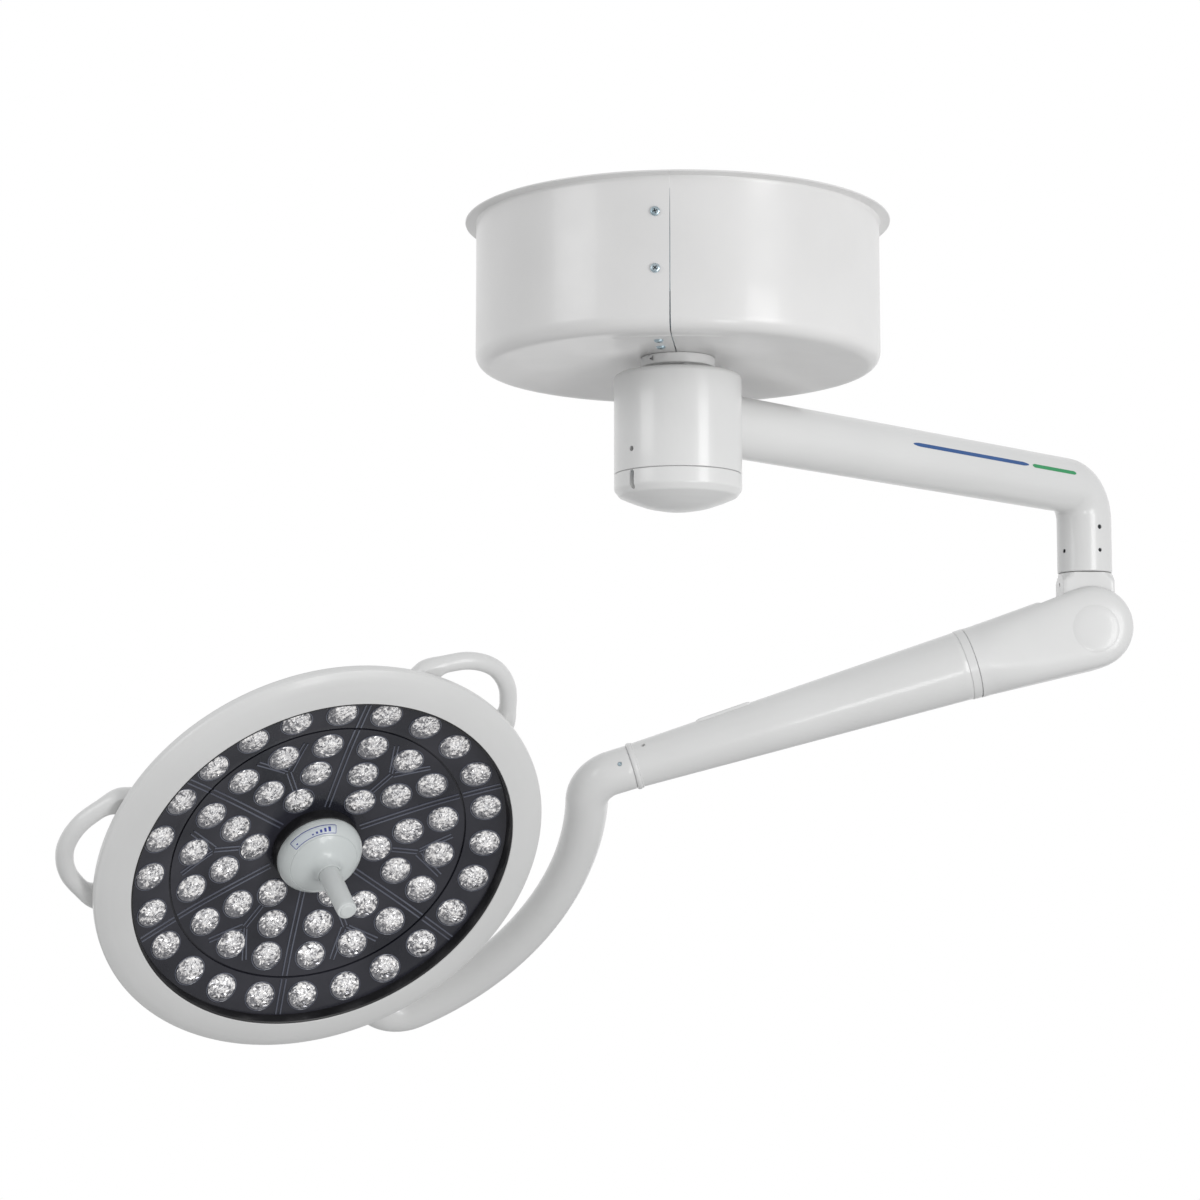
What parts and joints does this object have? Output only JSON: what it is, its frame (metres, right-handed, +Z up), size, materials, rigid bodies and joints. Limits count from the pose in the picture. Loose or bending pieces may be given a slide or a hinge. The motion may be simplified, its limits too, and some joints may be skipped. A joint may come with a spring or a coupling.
{
  "type": "ceiling surgical light",
  "caption": "Ceiling-hung surgical light: round canopy, swivelling arm, sprung forearm, curved yoke and a round lamp head with loop handles and a centre grip.",
  "frame": {"origin": "centre of the ceiling plate's top face, on the vertical axis of the hub", "axes": "+Z up, towards the ceiling; +X along the horizontal arm; +Y completes the right-handed frame"},
  "size_m": [1.1374, 1.0461, 0.9324],
  "materials": {
    "white_enamel": "gloss powder coat",
    "white_cover": "gloss",
    "handle_plastic": "gloss",
    "dome_plastic": "gloss",
    "post_plastic": "gloss",
    "zinc_steel": "zinc plated",
    "fastener_steel": "zinc plated",
    "machined_steel": "machined",
    "bearing_steel": "ground",
    "spring_steel": "oiled",
    "cast_alloy": "as cast",
    "sink_alloy": "anodised",
    "dark_screw": "black oxide",
    "bush_bronze": "turned",
    "slip_ring_brass": "turned",
    "supply_case": "folded sheet",
    "terminal_plastic": "satin",
    "black_plastic": "satin",
    "smoked_panel": "smoked, gloss",
    "lens_clear": "polished",
    "led_board": "white solder mask",
    "circuit_board": "solder mask",
    "label_film": "printed film"
  },
  "bodies": {
    "ceiling": {"ceiling_plate": "zinc_steel", "mounting_stem": "zinc_steel", "stem_bolts": "fastener_steel", "spindle": "machined_steel", "spindle_bolts": "fastener_steel", "spindle_nut": "machined_steel", "collar_ring": "white_enamel", "canopy_screws": "fastener_steel", "canopy_left_shell": "white_cover", "canopy_right_shell": "white_cover", "canopy_straps": "zinc_steel", "power_supply": "supply_case", "terminal_block": "terminal_plastic", "slip_ring_core": "slip_ring_brass"},
    "hub_arm": {"hub_housing": "white_enamel", "hub_bearings": "bearing_steel", "hub_cap": "white_cover", "cap_screw": "fastener_steel", "slip_ring_cup": "black_plastic", "horizontal_arm": "white_enamel", "arm_set_screws": "dark_screw", "drop_bushes": "bush_bronze"},
    "knuckle": {"knuckle": "white_enamel", "knuckle_brake_screw": "dark_screw", "spindle_clip": "machined_steel", "pivot_pin": "machined_steel", "anchor_pin": "machined_steel"},
    "spring_arm": {"arm_frame": "cast_alloy", "rear_cover": "white_cover", "pivot_caps": "white_cover", "spring_arm_tube": "white_enamel", "bead_ring": "white_cover", "adjuster_cover": "white_cover", "spring_rod": "machined_steel", "spring_seats": "zinc_steel", "spring_nuts": "fastener_steel", "compression_spring": "spring_steel", "front_bush": "bush_bronze"},
    "yoke": {"yoke_spindle": "machined_steel", "yoke_tube": "white_enamel", "tilt_spindle": "machined_steel", "yoke_screw": "dark_screw"},
    "head": {"bezel_ring": "white_cover", "opening_liner": "black_plastic", "lens_panel": "smoked_panel", "lenses": "lens_clear", "led_boards": "led_board", "heat_sink": "sink_alloy", "centre_ring": "black_plastic", "control_dome": "dome_plastic", "dimmer_encoder": "terminal_plastic", "rear_housing": "white_cover", "rim_screws": "fastener_steel", "pivot_bracket": "cast_alloy", "tilt_bush": "bush_bronze", "driver_board": "circuit_board", "loop_handle_1": "handle_plastic", "loop_handle_2": "handle_plastic", "level_label": "label_film"},
    "handle": {"handle_post": "post_plastic"}
  },
  "joints": [
    {"name": "arm_swivel", "type": "hinge", "parent": "ceiling", "child": "hub_arm", "pos_m": [0, 0, -0.218], "axis": [0, 0, 1], "range_deg": [-180, 180]},
    {"name": "forearm_swivel", "type": "hinge", "parent": "hub_arm", "child": "knuckle", "pos_m": [0.762, 0, -0.3], "axis": [0, 0, 1], "range_deg": [-160, 160]},
    {"name": "forearm_tilt", "type": "hinge", "parent": "knuckle", "child": "spring_arm", "pos_m": [0.762, 0, -0.4], "axis": [0.6896, 0.7242, 0], "range_deg": [-33, 17]},
    {"name": "yoke_roll", "type": "hinge", "parent": "spring_arm", "child": "yoke", "pos_m": [0.04932, 0.67868, -0.70088], "axis": [-0.6925, 0.6595, -0.2924], "range_deg": [-150, 150]},
    {"name": "head_tilt", "type": "hinge", "parent": "yoke", "child": "head", "pos_m": [0.01426, 0.65878, -0.66273], "axis": [0.6316, 0.3585, -0.6874], "range_deg": [-150, 150]},
    {"name": "grip_turn", "type": "hinge", "parent": "head", "child": "handle", "pos_m": [0.01426, 0.65878, -0.66273], "axis": [-0.23, -0.7601, -0.6077], "range_deg": [-135, 135]}
  ]
}
